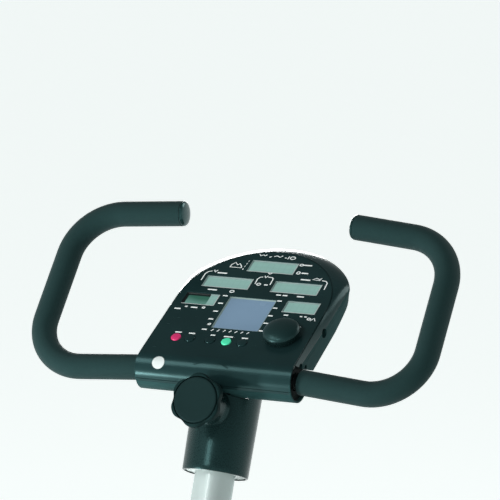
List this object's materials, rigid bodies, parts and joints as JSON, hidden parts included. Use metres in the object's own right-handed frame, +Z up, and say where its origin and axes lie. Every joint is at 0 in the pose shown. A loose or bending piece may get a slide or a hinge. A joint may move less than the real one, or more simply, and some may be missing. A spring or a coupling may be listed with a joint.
{
  "type": "bicycle ergometer",
  "caption": "Belt-driven exercise bicycle with an electromagnetic brake, foam handlebar loops and a tilting console with displays, keys and a jog dial.",
  "frame": {"origin": "on the floor, under the middle of the machine's bounding box", "axes": "+X to the rider's right, +Y forward, +Z up"},
  "size_m": [0.5554, 1.02, 1.3024],
  "materials": {
    "silver_paint": "satin",
    "steel": "satin",
    "cast_iron": "machined",
    "black_plastic": "fine texture",
    "panel_plastic": "fine texture",
    "foam": "closed-cell foam",
    "rubber": "matt",
    "saddle_cover": "grained vinyl",
    "light_plastic": "satin",
    "display_board": "clear over grey displays",
    "red_button": "satin",
    "green_button": "satin",
    "copper": "lacquered winding"
  },
  "bodies": {
    "stand": {"base_spine": "silver_paint", "rear_stabiliser": "silver_paint", "front_stabiliser": "silver_paint", "rear_foot_left": "rubber", "rear_foot_right": "rubber", "front_foot_left": "rubber", "front_foot_right": "rubber", "frame_plates": "steel", "handlebar_post": "silver_paint", "seat_tube": "silver_paint", "crank_bearing": "steel", "flywheel_bearing_left": "steel", "flywheel_bearing_right": "steel", "brake_coil": "copper", "drive_belt": "rubber", "housing_left": "black_plastic", "housing_right": "black_plastic", "power_inlet": "black_plastic", "seat_bush": "black_plastic", "head_sleeve": "black_plastic", "sleeve_ring": "light_plastic", "head_block": "cast_iron"},
    "left_transport_wheel": {"transport_wheel_left": "rubber"},
    "right_transport_wheel": {"transport_wheel_right": "rubber"},
    "crankset": {"crank_axle": "steel", "crank_arm_left": "steel", "crank_arm_right": "steel", "drive_pulley": "black_plastic", "pedal_axle_left": "steel", "pedal_axle_right": "steel"},
    "flywheel_rotor": {"flywheel": "cast_iron", "flywheel_axle": "steel"},
    "left_pedal": {"pedal_left": "black_plastic", "pedal_strap_left": "rubber"},
    "right_pedal": {"pedal_right": "black_plastic", "pedal_strap_right": "rubber"},
    "seat_mast": {"seat_post": "steel"},
    "saddle": {"saddle_clamp": "steel", "saddle_rails": "steel", "saddle_base": "black_plastic", "saddle_pad": "saddle_cover"},
    "seat_clamp_knob": {"seat_knob": "black_plastic"},
    "head": {"handlebar": "steel", "grip_left": "foam", "grip_right": "foam", "bar_end_left": "black_plastic", "bar_end_right": "black_plastic", "console_front": "panel_plastic", "console_back": "black_plastic", "under_cover": "black_plastic", "display_board": "display_board"},
    "head_clamp_knob": {"clamp_knob": "black_plastic", "knob_cap": "black_plastic"},
    "dial": {"jog_dial": "black_plastic"},
    "red_key": {"button_red": "red_button"},
    "left_key": {"button_left": "panel_plastic"},
    "middle_key": {"button_middle": "panel_plastic"},
    "green_key": {"button_green": "green_button"},
    "right_key": {"button_right": "panel_plastic"},
    "mains_switch": {"power_switch": "red_button"}
  },
  "joints": [
    {"name": "left_transport_wheel_spin", "type": "hinge", "parent": "stand", "child": "left_transport_wheel", "pos_m": [-0.2586, 0.4835, 0.03], "axis": [1, 0, 0], "continuous": true},
    {"name": "right_transport_wheel_spin", "type": "hinge", "parent": "stand", "child": "right_transport_wheel", "pos_m": [0.2586, 0.4835, 0.03], "axis": [1, 0, 0], "continuous": true},
    {"name": "crank_spin", "type": "hinge", "parent": "stand", "child": "crankset", "pos_m": [0, -0.06936, 0.33], "axis": [1, 0, 0], "continuous": true},
    {"name": "flywheel_spin", "type": "hinge", "parent": "stand", "child": "flywheel_rotor", "pos_m": [0, 0.20864, 0.255], "axis": [1, 0, 0], "continuous": true},
    {"name": "left_pedal_spin", "type": "hinge", "parent": "crankset", "child": "left_pedal", "pos_m": [-0.1318, -0.21946, 0.40981], "axis": [1, 0, 0], "continuous": true},
    {"name": "right_pedal_spin", "type": "hinge", "parent": "crankset", "child": "right_pedal", "pos_m": [0.1318, 0.08074, 0.25019], "axis": [1, 0, 0], "continuous": true},
    {"name": "seat_height", "type": "slide", "parent": "stand", "child": "seat_mast", "axis": [0, -0.3665, 0.9304], "range_m": [-0.1, 0.1]},
    {"name": "saddle_tilt", "type": "hinge", "parent": "seat_mast", "child": "saddle", "pos_m": [0, -0.32809, 0.85039], "axis": [1, 0, 0], "range_deg": [-10, 10]},
    {"name": "seat_knob_turn", "type": "hinge", "parent": "stand", "child": "seat_clamp_knob", "pos_m": [0, -0.2295, 0.6001], "axis": [0, -0.9304, -0.3665], "range_deg": [0, 720]},
    {"name": "head_tilt", "type": "hinge", "parent": "stand", "child": "head", "pos_m": [0, 0.262, 1.115], "axis": [1, 0, 0], "range_deg": [-15, 20]},
    {"name": "head_knob_turn", "type": "hinge", "parent": "stand", "child": "head_clamp_knob", "pos_m": [0, 0.27359, 1.06422], "axis": [0, -0.9304, 0.3665], "range_deg": [0, 720]},
    {"name": "dial_turn", "type": "hinge", "parent": "head", "child": "dial", "pos_m": [0.068, 0.30801, 1.13987], "axis": [0, -0.4756, 0.8796], "continuous": true},
    {"name": "red_press", "type": "slide", "parent": "head", "child": "red_key", "axis": [0, 0.4756, -0.8796], "range_m": [0, 0.001], "stiffness_N_per_m": 600, "springref_m": -0.0005},
    {"name": "left_press", "type": "slide", "parent": "head", "child": "left_key", "axis": [0, 0.4756, -0.8796], "range_m": [0, 0.001], "stiffness_N_per_m": 600, "springref_m": -0.0005},
    {"name": "middle_press", "type": "slide", "parent": "head", "child": "middle_key", "axis": [0, 0.4756, -0.8796], "range_m": [0, 0.001], "stiffness_N_per_m": 600, "springref_m": -0.0005},
    {"name": "green_press", "type": "slide", "parent": "head", "child": "green_key", "axis": [0, 0.4756, -0.8796], "range_m": [0, 0.001], "stiffness_N_per_m": 600, "springref_m": -0.0005},
    {"name": "right_press", "type": "slide", "parent": "head", "child": "right_key", "axis": [0, 0.4756, -0.8796], "range_m": [0, 0.001], "stiffness_N_per_m": 600, "springref_m": -0.0005},
    {"name": "switch_rock", "type": "hinge", "parent": "stand", "child": "mains_switch", "pos_m": [-0.0578, 0.29864, 0.233], "axis": [0, 1, 0], "range_deg": [0, 8]}
  ],
  "couplings": [
    {"joint": "crank_spin", "follows": "flywheel_spin", "ratio": 0.15652}
  ]
}
